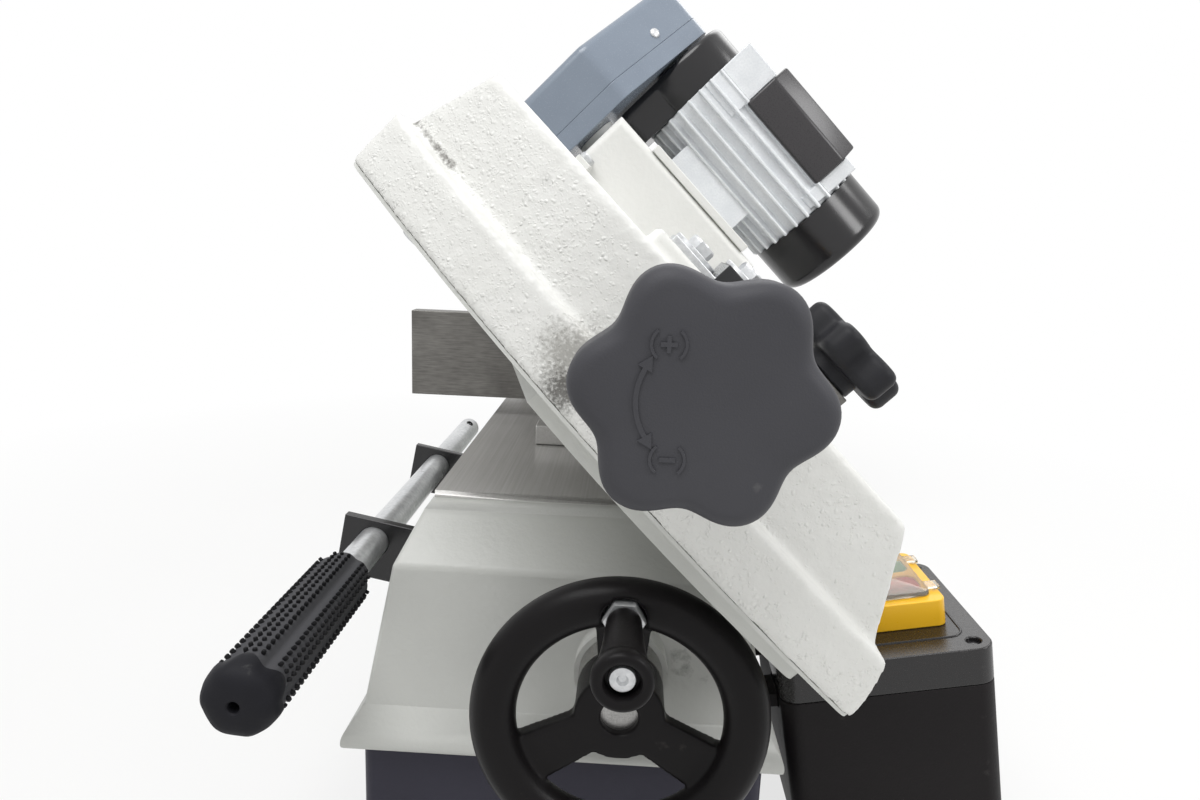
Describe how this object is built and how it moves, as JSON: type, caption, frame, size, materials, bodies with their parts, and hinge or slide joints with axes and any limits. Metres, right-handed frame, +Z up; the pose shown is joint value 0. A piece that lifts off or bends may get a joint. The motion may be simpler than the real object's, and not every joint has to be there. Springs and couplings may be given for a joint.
{
  "type": "metal cutting band saw",
  "caption": "Small horizontal metal cutting band saw with a tilted bow, motor, vise, pull-out handle and switch box on a stand top.",
  "frame": {"origin": "centre of the bolt pattern under the stand top", "axes": "+Z up, +Y from the handwheel end to the pivot end, +X to the side of the cut"},
  "size_m": [0.4436, 0.845, 0.589],
  "materials": {
    "bow_paint": "rough white paint on a sand casting",
    "base_paint": "light grey paint on a casting",
    "ground_iron": "ground grey iron",
    "stand_paint": "dark blue grey sheet paint",
    "guard_paint": "blue grey sheet paint",
    "black_paint": "gloss black paint",
    "zinc": "zinc plated",
    "steel": "turned steel",
    "blade_steel": "blue spring steel",
    "motor_alloy": "cast aluminium",
    "knob_plastic": "dark grey moulded plastic",
    "wheel_plastic": "black moulded plastic",
    "box_plastic": "black textured plastic",
    "grip_rubber": "studded rubber",
    "belt_rubber": "black belt",
    "yellow_plastic": "yellow moulded plastic",
    "red_plastic": "red moulded plastic",
    "green_plastic": "green moulded plastic",
    "clear_plastic": "clear plastic",
    "bronze": "bronze gear"
  },
  "bodies": {
    "base": {"stand_top": "stand_paint", "base_casting": "base_paint", "base_bolts": "zinc", "pivot_support": "base_paint", "pivot_pin": "steel", "fixed_jaw": "ground_iron", "handle_brackets": "black_paint", "control_box": "box_plastic", "control_box_lid": "box_plastic", "lid_screws": "zinc", "cable_gland": "box_plastic", "switch_frame": "yellow_plastic"},
    "handle": {"handle_rod": "zinc", "handle_grip": "grip_rubber"},
    "handwheel": {"vise_handwheel": "wheel_plastic", "vise_screw": "steel", "crank_spindle": "zinc"},
    "crank": {"crank_grip": "wheel_plastic"},
    "carriage": {"vise_carriage": "base_paint", "vise_nut": "ground_iron", "movable_jaw": "ground_iron"},
    "flap": {"switch_flap": "clear_plastic"},
    "start": {"start_button": "green_plastic"},
    "stop": {"stop_button": "red_plastic"},
    "bow": {"bow_frame": "bow_paint", "wheel_cover": "base_paint", "cover_screws": "zinc", "hinge_arm": "bow_paint", "bow_bolts": "zinc", "gear_case": "bow_paint", "motor_base": "bow_paint", "motor_housing": "motor_alloy", "fan_cover": "black_paint", "capacitor_box": "box_plastic", "pulley_tray": "guard_paint", "pulley_cover": "guard_paint", "drive_belt": "belt_rubber", "saw_blade": "blade_steel", "rear_guide_arm": "ground_iron"},
    "tension": {"tension_screw": "zinc", "tension_knob": "knob_plastic"},
    "slide": {"idler_slide": "ground_iron", "idler_axle": "steel", "slide_clamp": "ground_iron", "slide_bolts": "zinc"},
    "idler": {"idler_wheel": "ground_iron"},
    "drive": {"drive_wheel": "ground_iron", "drive_shaft": "steel", "worm_gear": "bronze"},
    "worm": {"worm_shaft": "steel", "driven_pulley": "motor_alloy"},
    "motor": {"motor_rotor": "steel", "motor_pulley": "motor_alloy"},
    "guide": {"front_guide_arm": "ground_iron"},
    "guide_lock": {"guide_knob": "knob_plastic"},
    "front_left": {"front_left_roller": "steel"},
    "front_right": {"front_right_roller": "steel"},
    "rear_left": {"rear_left_roller": "steel"},
    "rear_right": {"rear_right_roller": "steel"}
  },
  "joints": [
    {"name": "bow_lift", "type": "hinge", "parent": "base", "child": "bow", "pos_m": [0.03, 0.3279, 0.225], "axis": [-1, 0, 0], "range_deg": [0, 60]},
    {"name": "handwheel_turn", "type": "hinge", "parent": "base", "child": "handwheel", "pos_m": [0.027, -0.402, 0.129], "axis": [0, 1, 0], "range_deg": [-720, 9450]},
    {"name": "vise_travel", "type": "slide", "parent": "base", "child": "carriage", "axis": [0, 1, 0], "range_m": [-0.008, 0.105]},
    {"name": "crank_spin", "type": "hinge", "parent": "handwheel", "child": "crank", "pos_m": [0.027, -0.402, 0.178], "axis": [0, 1, 0], "continuous": true},
    {"name": "handle_pull", "type": "slide", "parent": "base", "child": "handle", "axis": [0, -1, 0], "range_m": [-0.045, 0.1]},
    {"name": "flap_open", "type": "hinge", "parent": "base", "child": "flap", "pos_m": [0.19954, -0.27, 0.15019], "axis": [0, 1, 0], "range_deg": [0, 100]},
    {"name": "bow_tension", "type": "hinge", "parent": "bow", "child": "tension", "pos_m": [0.047, -0.43, 0.283], "axis": [0, -1, 0], "range_deg": [0, 1921]},
    {"name": "idler_shift", "type": "slide", "parent": "bow", "child": "slide", "axis": [0, 1, 0], "range_m": [0, 0.008]},
    {"name": "idler_spin", "type": "hinge", "parent": "slide", "child": "idler", "pos_m": [0.02649, -0.2939, 0.26249], "axis": [0.7071, 0, 0.7071], "continuous": true},
    {"name": "motor_spin", "type": "hinge", "parent": "bow", "child": "motor", "pos_m": [0.16862, 0.2638, 0.40462], "axis": [0.7071, 0, -0.7071], "continuous": true},
    {"name": "worm_spin", "type": "hinge", "parent": "bow", "child": "worm", "pos_m": [0.08589, 0.2131, 0.32189], "axis": [0.7071, 0, -0.7071], "continuous": true},
    {"name": "drive_spin", "type": "hinge", "parent": "bow", "child": "drive", "pos_m": [0.02649, 0.1638, 0.26249], "axis": [0.7071, 0, 0.7071], "continuous": true},
    {"name": "guide_travel", "type": "slide", "parent": "bow", "child": "guide", "axis": [0, 1, 0], "range_m": [-0.06, 0]},
    {"name": "guide_lock_turn", "type": "hinge", "parent": "bow", "child": "guide_lock", "pos_m": [0.12499, -0.2925, 0.262], "axis": [0.7071, 0, 0.7071], "range_deg": [0, 360]},
    {"name": "front_left_spin", "type": "hinge", "parent": "guide", "child": "front_left", "pos_m": [0.09811, -0.0805, 0.18068], "axis": [0, 0, 1], "continuous": true},
    {"name": "front_right_spin", "type": "hinge", "parent": "guide", "child": "front_right", "pos_m": [0.11851, -0.0805, 0.18068], "axis": [0, 0, 1], "continuous": true},
    {"name": "rear_left_spin", "type": "hinge", "parent": "bow", "child": "rear_left", "pos_m": [0.09811, 0.0184, 0.18068], "axis": [0, 0, 1], "continuous": true},
    {"name": "rear_right_spin", "type": "hinge", "parent": "bow", "child": "rear_right", "pos_m": [0.11851, 0.0184, 0.18068], "axis": [0, 0, 1], "continuous": true},
    {"name": "start_press", "type": "slide", "parent": "base", "child": "start", "axis": [0.1826, 0, -0.9832], "range_m": [0, 0.0027], "stiffness_N_per_m": 300},
    {"name": "stop_press", "type": "slide", "parent": "base", "child": "stop", "axis": [0.1826, 0, -0.9832], "range_m": [0, 0.0027], "stiffness_N_per_m": 300}
  ],
  "couplings": [
    {"joint": "vise_travel", "follows": "handwheel_turn", "m_per_rad": 0.00063662},
    {"joint": "bow_tension", "follows": "idler_shift", "rad_per_m": 4188.8},
    {"joint": "worm_spin", "follows": "motor_spin", "ratio": 0.58838},
    {"joint": "drive_spin", "follows": "motor_spin", "ratio": 0.019613},
    {"joint": "idler_spin", "follows": "motor_spin", "ratio": 0.019613},
    {"joint": "front_left_spin", "follows": "motor_spin", "ratio": -0.23803},
    {"joint": "rear_left_spin", "follows": "motor_spin", "ratio": -0.23803},
    {"joint": "front_right_spin", "follows": "motor_spin", "ratio": 0.23803},
    {"joint": "rear_right_spin", "follows": "motor_spin", "ratio": 0.23803}
  ]
}
